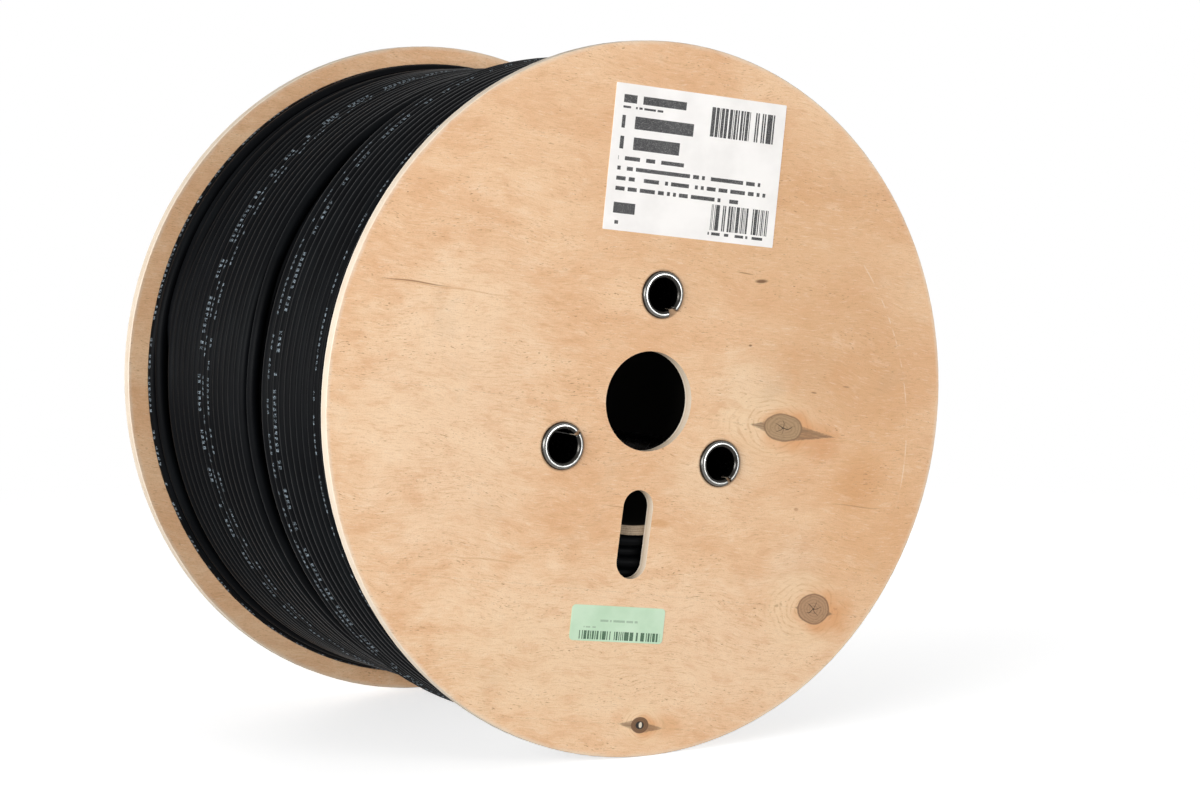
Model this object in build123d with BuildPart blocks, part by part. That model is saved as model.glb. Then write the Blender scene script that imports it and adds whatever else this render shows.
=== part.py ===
"""Wooden cable drum wound with black coaxial cable.

The drum's axis is Y, its front flange faces -Y, +Z is up and the origin is the drum's centre.
"""
from math import cos, hypot, radians, sin
import os

from build123d import *

os.makedirs("parts", exist_ok=True)

# Drum, in millimetres
flange_diameter = 400.0
overall_width = 270.0
flange_thickness = 6.5
flange_edge_break = 0.4
bore_diameter = 56.0
barrel_wall = 5.3
barrel_clearance = 0.5  # between the tie tubes and the barrel that encloses them
clocking = 8.5  # degrees that the drum is rolled clockwise, seen from the front

# Tie tubes, rolled from strip and curled over both flanges
tube_pitch_radius = 60.0
tube_outer_diameter = 19.8
tube_sheet = 0.8
tube_hole_clearance = 0.2
curl_overhang = 3.5  # how far each rolled end reaches past the tube's outside
seam_width = 1.5
open_seams = ((-59.5, 4.6), (-61.5, 2.2), (38.0, 1.8))  # angle of each open seam and its width at the curls

# Slot in the front flange for the cable's inner end
slot_length = 50.0
slot_width = 19.5
slot_inset = 1.0  # its middle lies this far inside the barrel's outer wall
slot_offset = 2.0  # to the right of the line through the bore and the first tube

# Cable winding
cable_diameter = 6.9
turn_gap = 0.03
winding_clearance = 0.2
winding_margin = 14.0  # from the main winding's surface in to the flange's rim
layer_rise_ratio = 0.885
groove_floor_layers = 1
front_band_width = 92.9
front_groove_width = 25.6
rear_groove_width = 8.9
rear_band_width = 14.1
valley_lift = 1.5

# Paper labels on the front flange
label_thickness = 0.2
shipping_label_size = (113.0, 81.0)
shipping_label_across = 11.0
shipping_label_rim_gap = 26.0  # from its top edge straight up to the height of the flange's rim
shipping_label_tilt = 1.8
shipping_label_corner = 0.5
stock_label_size = (61.0, 20.0)
stock_label_across = -1.9
stock_label_slot_gap = 15.7  # from the slot's outer end to its top edge
stock_label_tilt = 1.5
stock_label_corner = 2.5

# Sizes that follow from those above
flange_radius = flange_diameter / 2
half_width = overall_width / 2
inner_face = half_width - flange_thickness
tube_radius = tube_outer_diameter / 2
barrel_inner_radius = tube_pitch_radius + tube_radius + barrel_clearance
barrel_outer_radius = barrel_inner_radius + barrel_wall
slot_centre_radius = barrel_outer_radius - slot_inset
shipping_label_up = flange_radius - shipping_label_rim_gap - shipping_label_size[1] / 2
stock_label_down = slot_centre_radius + slot_length / 2 + stock_label_slot_gap + stock_label_size[1] / 2
tube_hole_radius = tube_radius + tube_hole_clearance
curl_outer_radius = tube_radius + curl_overhang
cable_radius = cable_diameter / 2
turn_pitch = cable_diameter + turn_gap
first_tube_angle = 90.0 - clocking
winding_bore_radius = barrel_outer_radius + winding_clearance


def rolled(across, up):
    """A place on the flange measured with the first tube straight above the bore, as it sits on the rolled drum."""
    roll = radians(clocking)
    return across * cos(roll) + up * sin(roll), up * cos(roll) - across * sin(roll)


def flange(name, face_y, slotted):
    """A plywood disc whose outer face is at face_y; its thickness runs towards the drum's middle."""
    outward = -1.0 if face_y < 0 else 1.0
    with BuildPart() as disc:
        with BuildSketch(Plane.XZ.offset(-face_y)):
            Circle(flange_radius)
            Circle(bore_diameter / 2, mode=Mode.SUBTRACT)
            with PolarLocations(tube_pitch_radius, len(open_seams), start_angle=first_tube_angle):
                Circle(tube_hole_radius, mode=Mode.SUBTRACT)
            if slotted:
                with Locations(Location(rolled(slot_offset, -slot_centre_radius), 90.0 - clocking)):
                    SlotOverall(slot_length, slot_width, mode=Mode.SUBTRACT)
        extrude(amount=flange_thickness * outward)
        rim_edges = disc.edges().filter_by(GeomType.CIRCLE).filter_by(lambda edge: edge.radius > flange_radius - 0.1)
        chamfer(rim_edges, flange_edge_break)
    disc.part.label = name
    return disc.part


def barrel():
    """The wound board tube that butts against both flanges' inner faces."""
    with BuildPart() as tube:
        with BuildSketch(Plane.XZ.offset(-inner_face)):
            Circle(barrel_outer_radius)
            Circle(barrel_inner_radius, mode=Mode.SUBTRACT)
        extrude(amount=2 * inner_face)
    tube.part.label = "barrel"
    return tube.part


def tie_tube(name, angle, seam_angle, curl_seam_width):
    """An open-seam tube through both flanges; each end is curled outwards until its edge meets the face."""
    centre_x = tube_pitch_radius * cos(radians(angle))
    centre_z = tube_pitch_radius * sin(radians(angle))
    tube_axis = Axis((centre_x, 0, centre_z), (0, 1, 0))
    inner_radius = tube_radius - tube_sheet
    outer_curl = (curl_outer_radius - inner_radius) / 2
    inner_curl = outer_curl - tube_sheet
    curl_centre = inner_radius + outer_curl
    seam_direction = (cos(radians(seam_angle)), 0, sin(radians(seam_angle)))
    with BuildPart() as tube:
        with BuildSketch(Plane(origin=(centre_x, 0, centre_z))):
            with BuildLine():
                Polyline(
                    (curl_outer_radius, -half_width),
                    (curl_outer_radius - tube_sheet, -half_width),
                )
                ThreePointArc(
                    (curl_centre + inner_curl, -half_width),
                    (curl_centre, -half_width - inner_curl),
                    (curl_centre - inner_curl, -half_width),
                )
                Line((tube_radius, -half_width), (tube_radius, half_width))
                ThreePointArc(
                    (curl_centre - inner_curl, half_width),
                    (curl_centre, half_width + inner_curl),
                    (curl_centre + inner_curl, half_width),
                )
                Line((curl_outer_radius - tube_sheet, half_width), (curl_outer_radius, half_width))
                ThreePointArc(
                    (curl_centre + outer_curl, half_width),
                    (curl_centre, half_width + outer_curl),
                    (curl_centre - outer_curl, half_width),
                )
                Line((inner_radius, half_width), (inner_radius, -half_width))
                ThreePointArc(
                    (curl_centre - outer_curl, -half_width),
                    (curl_centre, -half_width - outer_curl),
                    (curl_centre + outer_curl, -half_width),
                )
            make_face()
        revolve(axis=tube_axis)
        with BuildSketch(Plane(origin=(centre_x, 0, centre_z), x_dir=(0, 1, 0), z_dir=seam_direction)):
            Rectangle(overall_width + 4 * outer_curl, seam_width)
            for end in (-half_width - outer_curl, half_width + outer_curl):
                with Locations((end, 0)):
                    Rectangle(2 * outer_curl, curl_seam_width)
        extrude(amount=2 * curl_outer_radius, mode=Mode.SUBTRACT)
    tube.part.label = name
    return tube.part


def winding_outline():
    """Centres (radius, y) of the turns along the winding's outside, from its front end to its rear end."""
    first_radius = winding_bore_radius + cable_radius
    main_radius = flange_radius - winding_margin - cable_radius
    layers = int((main_radius - first_radius) / (cable_diameter * layer_rise_ratio) + 0.5) + 1
    rise = (main_radius - first_radius) / (layers - 1)
    front_y = -inner_face + winding_clearance + cable_radius
    columns = int((-2 * front_y) / turn_pitch) + 1
    pitch = -2 * front_y / (columns - 1)
    front_band = round(front_band_width / pitch)
    front_groove = round(front_groove_width / pitch)
    rear_groove = round(rear_groove_width / pitch)
    rear_band = round(rear_band_width / pitch)
    heights = [layers] * columns
    for column in range(columns):
        from_rear = columns - 1 - column
        if column < front_band:
            heights[column] = layers + 1
        elif column < front_band + front_groove:
            heights[column] = layers - groove_floor_layers
        elif from_rear < rear_band:
            heights[column] = layers + 1
        elif from_rear < rear_band + rear_groove:
            heights[column] = layers - groove_floor_layers
    centres = [(first_radius + rise * layer, front_y) for layer in range(heights[0] - 1)]
    for column, height in enumerate(heights):
        y = front_y + pitch * column
        if column > 0 and heights[column - 1] < height:
            centres += [(first_radius + rise * layer, y) for layer in range(heights[column - 1], height - 1)]
        centres.append((first_radius + rise * (height - 1), y))
        if column < columns - 1 and heights[column + 1] < height:
            centres += [(first_radius + rise * layer, y) for layer in range(height - 2, heights[column + 1] - 1, -1)]
    centres += [(first_radius + rise * layer, -front_y) for layer in range(heights[-1] - 2, -1, -1)]
    return centres


def cable_winding():
    """The whole winding as one turned solid: a rounded ridge for each turn that shows, on the outside and both ends."""
    centres = winding_outline()
    normals = []
    for start, end in zip(centres, centres[1:]):
        step = hypot(end[0] - start[0], end[1] - start[1])
        normals.append(((end[1] - start[1]) / step, -(end[0] - start[0]) / step))
    valleys = [(winding_bore_radius, centres[0][1] - valley_lift)]
    for start, end, normal in zip(centres, centres[1:], normals):
        middle = ((start[0] + end[0]) / 2, (start[1] + end[1]) / 2)
        valleys.append((middle[0] + normal[0] * valley_lift, middle[1] + normal[1] * valley_lift))
    valleys.append((winding_bore_radius, centres[-1][1] + valley_lift))
    facing = [(0.0, -1.0)] + normals + [(0.0, 1.0)]
    with BuildPart() as winding:
        with BuildSketch(Plane.XY):
            with BuildLine():
                for index, centre in enumerate(centres):
                    lean = (facing[index][0] + facing[index + 1][0], facing[index][1] + facing[index + 1][1])
                    size = hypot(lean[0], lean[1]) / cable_radius
                    crest = (centre[0] + lean[0] / size, centre[1] + lean[1] / size)
                    ThreePointArc(valleys[index], crest, valleys[index + 1])
                Line(valleys[-1], valleys[0])
            make_face()
        revolve(axis=Axis.Y)
    winding.part.label = "cable_winding"
    return winding.part


def label(name, size, across, up, tilt, corner):
    """A paper label on the front flange's face; its tilt is from the line across the first tube and the bore."""
    with BuildPart() as paper:
        with BuildSketch(Plane.XZ.offset(half_width)):
            with Locations(Location(rolled(across, up), tilt - clocking)):
                RectangleRounded(size[0], size[1], corner)
        extrude(amount=label_thickness)
    paper.part.label = name
    return paper.part


def export_all():
    pieces = [
        flange("front_flange", -half_width, True),
        flange("rear_flange", half_width, False),
        barrel(),
        cable_winding(),
        label(
            "shipping_label",
            shipping_label_size,
            shipping_label_across,
            shipping_label_up,
            shipping_label_tilt,
            shipping_label_corner,
        ),
        label(
            "stock_label",
            stock_label_size,
            stock_label_across,
            -stock_label_down,
            stock_label_tilt,
            stock_label_corner,
        ),
    ]
    for number, (seam_angle, curl_seam_width) in enumerate(open_seams):
        angle = first_tube_angle - number * 360.0 / len(open_seams)
        pieces.append(tie_tube(f"tie_tube_{number + 1}", angle, seam_angle, curl_seam_width))
    for piece in pieces:
        export_step(piece, f"parts/{piece.label}.step")


export_all()
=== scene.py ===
"""Looks of the wooden cable drum: plywood flanges, steel tie tubes, paper labels and black wound cable.

Row frame: the drum's axis is Y, the labelled flange faces -Y, +Z is up and the origin is the drum's centre.
Sizes are in millimetres unless they say otherwise. A place on a flange is given as across and up, as it would
be with the first tube straight above the bore, before the drum is rolled to the angle that it stands at.
"""
import math
import random
from collections import namedtuple
from functools import partial

import bmesh
import bpy
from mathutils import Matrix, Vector


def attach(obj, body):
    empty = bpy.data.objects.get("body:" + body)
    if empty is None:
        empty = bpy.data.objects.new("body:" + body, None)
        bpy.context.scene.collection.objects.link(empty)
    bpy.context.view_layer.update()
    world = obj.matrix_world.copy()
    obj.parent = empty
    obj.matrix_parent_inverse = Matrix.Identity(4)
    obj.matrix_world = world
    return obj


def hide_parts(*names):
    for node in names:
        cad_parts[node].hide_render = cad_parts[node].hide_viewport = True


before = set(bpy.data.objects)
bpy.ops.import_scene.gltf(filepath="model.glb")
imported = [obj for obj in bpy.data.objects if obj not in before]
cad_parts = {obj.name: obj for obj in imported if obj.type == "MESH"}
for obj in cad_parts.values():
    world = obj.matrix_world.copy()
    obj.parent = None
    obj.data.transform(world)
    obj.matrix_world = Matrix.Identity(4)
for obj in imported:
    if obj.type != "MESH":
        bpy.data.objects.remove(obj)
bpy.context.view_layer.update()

MM = 0.001

# Flanges
FLANGE_R = 200.0
HALF_WIDTH = 135.0
FLANGE_T = 6.5
PLIES = 5
ROLL_DEGREES = 8.5
ROLL = math.radians(ROLL_DEGREES)

# Tie tubes: degrees round the bore, then the strip and the curl that it ends in
TUBE_ANGLES = (90.0, -30.0, -150.0)
TUBE_PITCH_R = 60.0
TUBE_R = 9.9
TUBE_SHEET = 0.8
CURL_R = 13.4
# Where the curl stands highest, measured from the tube's axis
CREST_R = 11.4
# Half the open seam along a tube, then each seam's angle in degrees and its opening at the curl's edge
SEAM_HALF = 0.75
TUBE_SEAMS = ((-61.0, 6.8), (-61.5, 2.8), (38.0, 2.4))

# Cable: the spacing of its turns, and the radius of the centreline in each layer
CABLE_R = 3.45
PITCH = 6.936
BAND_PITCH = 7.146
FRONT_Y = -124.85
BAND_R = 188.6
REAR_R = 185.6
MAIN_R = 182.5
LOWER_R = 176.4
DEEP_R = 170.3


# Helpers
def rgb(hex_code):
    """An sRGB hex colour as a linear RGBA tuple."""
    parts = [int(hex_code[i:i + 2], 16) / 255 for i in (0, 2, 4)]
    return tuple(c / 12.92 if c <= 0.04045 else ((c + 0.055) / 1.055) ** 2.4 for c in parts) + (1.0,)


# The setting that a kind of node takes after its dot, as in Math.ADD
MODES = {"Math": "operation", "VectorMath": "operation", "MapRange": "interpolation_type", "Mix": "data_type",
         "TexNoise": "noise_dimensions", "TexWhiteNoise": "noise_dimensions", "VectorRotate": "rotation_type"}
ADD, SUBTRACT, MULTIPLY, DIVIDE = "Math.ADD", "Math.SUBTRACT", "Math.MULTIPLY", "Math.DIVIDE"
ABSOLUTE, SINE, FLOOR = "Math.ABSOLUTE", "Math.SINE", "Math.FLOOR"
LESS, MORE = "Math.LESS_THAN", "Math.GREATER_THAN"
# From one value to another, or from 0 to 1, with a soft start and end
EASE = "MapRange.SMOOTHSTEP"


def feed(tree, node, inputs):
    """Gives a node's inputs their values; each is a constant or the output socket that feeds it."""
    for key, value in inputs.items():
        if isinstance(value, bpy.types.NodeSocket):
            tree.links.new(value, node.inputs[key])
        else:
            node.inputs[key].default_value = value


def add(tree, kind, *values, out=0, **settings):
    """Adds one node and returns its output named or numbered out, or all of its outputs where out is None.

    values are its inputs in their order, or one dict of them. Shader nodes go without their prefix.
    """
    kind, _, mode = kind.partition(".")
    node = tree.nodes.new(kind if "Node" in kind else "ShaderNode" + kind)
    if mode:
        setattr(node, MODES[kind], mode)
    for key, value in settings.items():
        setattr(node, key, value)
    by_key = values and isinstance(values[0], dict)
    feed(tree, node, values[0] if by_key else dict(enumerate(values)))
    return node.outputs if out is None else node.outputs[out]


def material(name):
    """A new material, with what adds a node to it and what feeds its shader."""
    made = bpy.data.materials.new(name)
    made.use_nodes = True
    tree = made.node_tree
    return made, partial(add, tree), partial(feed, tree, tree.nodes["Principled BSDF"])


def painted(node, ground, *layers):
    """Lays colours over a ground in turn. Each layer is a mask and a hex colour or a colour socket."""
    for mask, colour in layers:
        over = rgb(colour) if isinstance(colour, str) else colour
        ground = node("Mix.RGBA", {0: mask, 6: ground, 7: over}, out=2)
    return ground


def in_mm(node, place):
    """A place in metres, in millimetres."""
    return node("VectorMath.SCALE", {0: place, "Scale": 1 / MM})


def figure(node, place, cells, detail=3.0, rough=0.55):
    """Cloudy noise, stretched to this many cells per millimetre along each axis."""
    stretched = node("VectorMath.MULTIPLY", place, cells)
    return node("TexNoise", {"Vector": stretched, "Scale": 1.0, "Detail": detail, "Roughness": rough})


def length(node, x, z):
    """How long the step is that goes this far along each of two axes."""
    return node("Math.SQRT", node(ADD, node(MULTIPLY, x, x), node(MULTIPLY, z, z)))


def ellipse(node, at, centre_x, centre_z, half_x, half_z):
    """How far a place on the flange is from an ellipse's centre, where 1 is its outline."""
    x = node(DIVIDE, node(SUBTRACT, at[0], centre_x), half_x)
    z = node(DIVIDE, node(SUBTRACT, at[1], centre_z), half_z)
    return length(node, x, z)


def total(node, masks):
    """1 where any of the masks is 1."""
    result = masks[0]
    for mask in masks[1:]:
        result = node("Math.MAXIMUM", result, mask)
    return result


# Plywood
WOOD = {"pale": "f0c9a1", "tan": "e6b78c", "dark": "d8a277", "light": "f6d7b5"}
Knot = namedtuple("Knot", "across up half_length half_height streak_right streak_left line_shift core hollow")
KNOTS = (
    Knot(92.0, -6.0, 13.0, 7.8, 24.0, 10.0, -7.0, "b0906c", False),
    Knot(129.0, -107.5, 11.0, 8.6, 3.0, 2.0, -7.0, "b28c6a", False),
    Knot(21.0, -181.0, 5.8, 4.6, 11.0, 9.0, 1.0, "6b4d34", True),
)
# Broad zones on the face, veneer tone and painted light: across, up, half length, half height, tone, strength
# The largest zones, paler at the left and bottom and darker at the top and right, are painted light falling
# across the face; the small ones round the knots are veneer tone
TONE_AND_LIGHT_ZONES = (
    (70.0, 12.0, 34.0, 30.0, "f6dcb9", 0.55), (108.0, 26.0, 16.0, 26.0, "f3d6b2", 0.35),
    (45.0, -40.0, 40.0, 20.0, "f3d8b6", 0.3), (160.0, -40.0, 46.0, 80.0, "dfa772", 0.42),
    (112.0, -84.0, 24.0, 26.0, "f3d8b8", 0.4), (20.0, -140.0, 170.0, 62.0, "f8dbb9", 0.5),
    (128.0, 40.0, 70.0, 62.0, "d3a070", 0.5), (60.0, 112.0, 120.0, 62.0, "d6a372", 0.42),
    (150.0, -30.0, 22.0, 22.0, "d59a63", 0.45), (-125.0, -20.0, 80.0, 120.0, "f7dab8", 0.5),
    (-40.0, -150.0, 110.0, 40.0, "efcfa8", 0.4), (118.0, -12.0, 20.0, 13.0, "d3905a", 0.55),
    (148.0, -110.0, 13.0, 20.0, "d99a63", 0.4), (38.0, -180.0, 14.0, 9.0, "d89a62", 0.5),
    (17.0, -67.0, 10.0, 3.0, "d1955c", 0.5),
)
# The split left of the bore with its faint run-out, then small dark flecks, in the same columns
MARKS = (
    (-139.0, 47.6, 60.0, 0.7, "bf8a58", 0.34), (-155.0, 48.4, 27.0, 0.55, "85562c", 0.74),
    (64.5, 75.4, 5.5, 1.5, "6b4a2c", 0.9), (53.0, 78.5, 8.0, 0.5, "9a6f45", 0.7),
    (62.5, 38.6, 1.6, 0.8, "7a5636", 0.8), (110.0, 16.0, 2.6, 0.6, "8a6240", 0.7),
    (132.0, 22.0, 3.4, 0.5, "8a6240", 0.6), (150.0, -46.0, 24.0, 0.5, "ab7d53", 0.5),
    (108.0, -52.0, 2.2, 1.4, "a9714a", 0.5), (118.0, -171.0, 0.7, 0.6, "4c3524", 0.9),
    (-12.0, -60.0, 12.0, 0.5, "b98a5e", 0.5), (-90.0, -96.0, 26.0, 0.7, "c99a6c", 0.45),
)


def plywood(name, knots, seed):
    """Rotary-cut birch plywood, sanded and left raw and matt.

    Its face is pale tan with a cloudy figure and short dark pores, and its plies show on every cut edge.
    """
    made, node, finish = material(name)
    turned = node("VectorRotate.Y_AXIS", {"Vector": node("TexCoord", out="Object"), "Angle": -ROLL})
    place = in_mm(node, turned)
    across, depth, up = node("SeparateXYZ", place, out=None)
    at = (across, up)
    flow = node("CombineXYZ", across, seed, grain_height(node, place, at, knots))
    mottle = figure(node, flow, (0.07, 1.0, 0.16), 3.0, 0.6)
    veneer, height = face_veneer(node, place, flow, mottle, at, knots)
    side, side_height = cut_edge(node, place, depth)
    facing = node("SeparateXYZ", node("NewGeometry", out="Normal"), out=1)
    on_edge = node(EASE, node(ABSOLUTE, facing), 0.9, 0.6)

    # The face is paler in broken patches within 3 mm of the rim
    rim = node(EASE, ellipse(node, at, 0.0, 0.0, 1.0, 1.0), FLANGE_R - 3.0, FLANGE_R - 0.4)
    rubbed = node(EASE, figure(node, place, (0.06, 0.06, 0.06), 4.0), 0.35, 0.6, 0.35, 1.0)
    pale_rim = node(MULTIPLY, node(MULTIPLY, rim, rubbed), 0.45)
    face_height = node(MULTIPLY, height, node(SUBTRACT, 1.0, on_edge))
    relief = node(ADD, face_height, node(MULTIPLY, side_height, on_edge))
    finish({
        "Base Color": painted(node, veneer, (on_edge, side), (pale_rim, "ebdfce")),
        "Roughness": node(EASE, mottle, 0.3, 0.7, 0.5, 0.62),
        "Specular IOR Level": 0.3,
        "Normal": node("Bump", {"Height": relief, "Distance": 0.00008, "Strength": 0.7}),
    })
    return made


def grain_height(node, place, at, knots):
    """Height on the flange that the grain follows: it parts round each knot and wanders slowly elsewhere."""
    across, up = at
    grain_up = up
    for knot in knots:
        x = node(DIVIDE, node(SUBTRACT, across, knot.across), 2.3)
        z = node(SUBTRACT, up, knot.up)
        square = node(ADD, node(MULTIPLY, x, x), node(MULTIPLY, z, z))
        reach = (knot.half_height * 1.9) ** 2
        near = node(DIVIDE, reach, node(ADD, square, reach))
        grain_up = node(SUBTRACT, grain_up, node(MULTIPLY, z, node(MULTIPLY, near, 0.92)))
    drift = node(MULTIPLY, figure(node, place, (0.011, 0.0, 0.02), 2.0), 22.0)
    sway = node(MULTIPLY, figure(node, place, (0.05, 0.0, 0.08), 1.0), 3.0)
    return node(ADD, grain_up, node(ADD, drift, sway))


def face_veneer(node, place, flow, mottle, at, knots):
    """Colour and relief of the face: figure, growth lines, fibres and pores, then knots, marks and scuffs."""
    cloud = figure(node, flow, (0.017, 1.0, 0.03))
    growth = figure(node, flow, (0.011, 1.0, 0.3), 2.5, 0.6)
    fibre = figure(node, flow, (0.16, 1.0, 1.5), 3.0, 0.62)
    grit = figure(node, place, (1.1, 1.0, 1.7), 2.0, 0.6)
    pores = node(EASE, figure(node, flow, (0.34, 1.0, 2.1), 1.0, 0.5), 0.66, 0.75)
    pore_zone = figure(node, flow, (0.02, 1.0, 0.09), 2.0)
    pores = node(MULTIPLY, pores, node(EASE, pore_zone, 0.4, 0.62, 0.15, 1.0))
    lines = node(EASE, node("Math.PINGPONG", node(MULTIPLY, growth, 9.0), 0.5), 0.06, 0.0)
    lines = node(MULTIPLY, lines, node(EASE, cloud, 0.42, 0.6, 0.1, 1.0))

    veneer = painted(node, rgb(WOOD["pale"]), (node(EASE, cloud, 0.3, 0.7), WOOD["tan"]))
    if knots:
        veneer = add_tone_and_light_zones(node, veneer, mottle, at)
    veneer = painted(
        node, veneer,
        (node(EASE, mottle, 0.5, 0.72, 0.0, 0.3), WOOD["dark"]),
        (node(EASE, mottle, 0.46, 0.28, 0.0, 0.3), WOOD["light"]),
        (node(MULTIPLY, lines, 0.26), "c08c5e"),
        (node(EASE, fibre, 0.5, 0.75, 0.0, 0.44), "c99a6c"),
        (node(EASE, fibre, 0.45, 0.25, 0.0, 0.34), "fae6cc"),
        (node(EASE, grit, 0.45, 0.75, 0.0, 0.26), "b5885c"),
        (node(MULTIPLY, pores, 0.75), "a1734b"),
    )
    height = node(ADD, node(MULTIPLY, fibre, 0.45), node(MULTIPLY, grit, 0.25))
    height = node(SUBTRACT, height, node(MULTIPLY, pores, 0.8))
    for knot in knots:
        veneer, height = add_knot(node, veneer, height, at, knot)
    if knots:
        veneer, height = add_marks(node, veneer, height, at)
    veneer = scuffed(node, veneer, place, at)
    # A dark line round each curled tube end, where it meets the veneer: painted contact shadow
    for degrees in TUBE_ANGLES:
        angle = math.radians(degrees)
        x, z = TUBE_PITCH_R * math.cos(angle), TUBE_PITCH_R * math.sin(angle)
        contact_painted_shadow = node(EASE, ellipse(node, at, x, z, CURL_R, CURL_R), 1.09, 1.0, 0.0, 0.55)
        veneer = painted(node, veneer, (contact_painted_shadow, "6d4c30"))
    return veneer, height


def add_tone_and_light_zones(node, veneer, mottle, at):
    """The broad lighter and darker zones of the knotty face, each with a ragged soft edge; the largest are
    painted light, the rest veneer tone.
    """
    ragged = node(MULTIPLY, node(SUBTRACT, mottle, 0.5), 0.9)
    for x, z, half_x, half_z, tone, strength in TONE_AND_LIGHT_ZONES:
        soft = node(ADD, ellipse(node, at, x, z, half_x, half_z), ragged)
        veneer = painted(node, veneer, (node(EASE, soft, 1.15, 0.3, 0.0, strength), tone))
    return veneer


def cut_edge(node, place, depth):
    """Colour and relief of a cut edge: plies that lie across each other, with thin glue lines between."""
    inward = node(SUBTRACT, HALF_WIDTH, node(ABSOLUTE, depth))
    ripple = node(EASE, figure(node, place, (0.05, 0.0, 0.05), 2.0), 0.3, 0.7, -0.07, 0.07)
    ply = node(ADD, node(MULTIPLY, inward, PLIES / FLANGE_T), ripple)
    layer = node(FLOOR, ply)
    turned = node("Math.MODULO", layer, 2.0)
    glue = node(SUBTRACT, 1.0, node(EASE, node("Math.PINGPONG", ply, 0.5), 0.0, 0.07))
    shade = node("TexWhiteNoise.1D", {"W": layer})
    end_grain = figure(node, place, (1.6, 5.0, 1.6), 3.0, 0.65)
    side = painted(
        node, rgb("e5d8c6"),
        (shade, "dccab2"),
        (node(MULTIPLY, turned, node(EASE, end_grain, 0.3, 0.7, 0.1, 0.6)), "d3b596"),
        (node(EASE, end_grain, 0.58, 0.78, 0.0, 0.4), "b99672"),
        (node(MULTIPLY, glue, 0.4), "a27b57"),
    )
    height = node(SUBTRACT, node(MULTIPLY, end_grain, 1.6), node(MULTIPLY, glue, 1.4))
    return side, node(ADD, height, node(MULTIPLY, turned, -0.9))


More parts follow.
